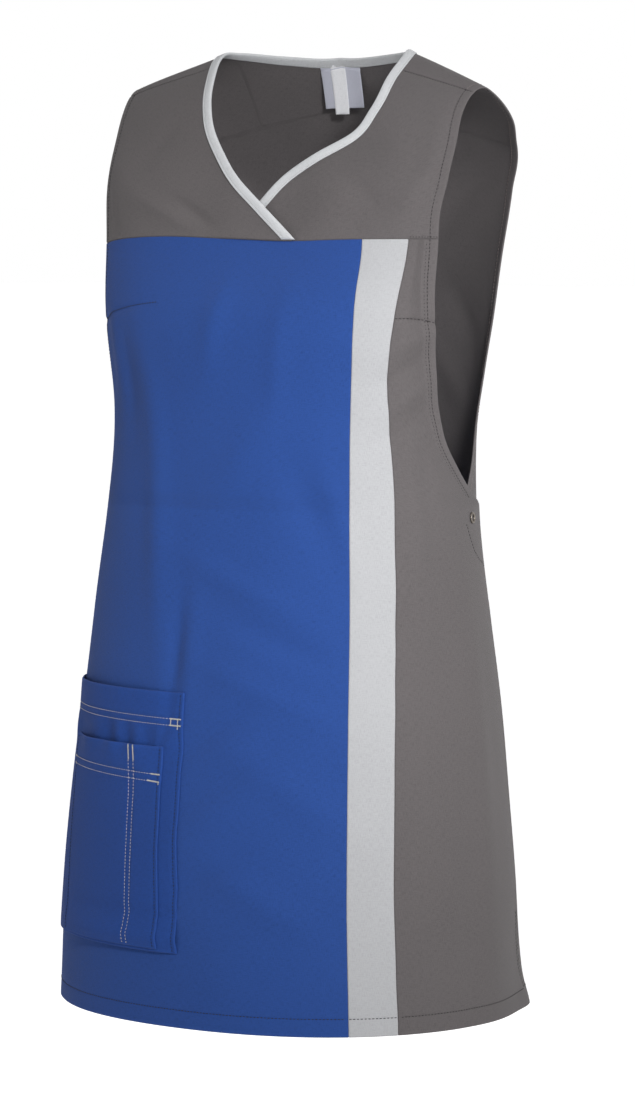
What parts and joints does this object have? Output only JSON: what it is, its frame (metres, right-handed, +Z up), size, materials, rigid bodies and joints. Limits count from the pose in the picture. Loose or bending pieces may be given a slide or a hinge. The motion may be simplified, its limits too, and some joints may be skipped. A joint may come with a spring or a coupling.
{
  "type": "tabard apron",
  "caption": "Sleeveless work tabard apron in its worn hollow shape, crossed V neck with light binding, grey yokes, blue front, light stripe, side press studs and layered hip pockets.",
  "frame": {"origin": "midway between the shoulders, at the height where the wearer's shoulders hold the garment", "axes": "+Z up, the front faces -Y, +X is the wearer's left"},
  "size_m": [0.4024, 0.3386, 0.7996],
  "materials": {
    "grey_twill": "matt polyester-cotton twill",
    "blue_twill": "matt polyester-cotton twill",
    "light_twill": "matt polyester-cotton twill",
    "binding": "matt folded bias binding",
    "pocket_twill": "matt polyester-cotton twill",
    "label_satin": "satin woven label",
    "loop_tape": "narrow satin tape",
    "stud_metal": "plated ring"
  },
  "bodies": {
    "root": {"back": "grey_twill", "front_main": "blue_twill", "front_stripe": "light_twill", "front_side": "grey_twill", "front_yoke_right": "grey_twill", "front_yoke_left": "grey_twill", "neck_binding": "binding", "pocket_big": "pocket_twill", "pocket_small": "pocket_twill", "neck_label": "label_satin", "neck_loop": "loop_tape", "stud_right": "stud_metal", "stud_left": "stud_metal"}
  },
  "joints": []
}
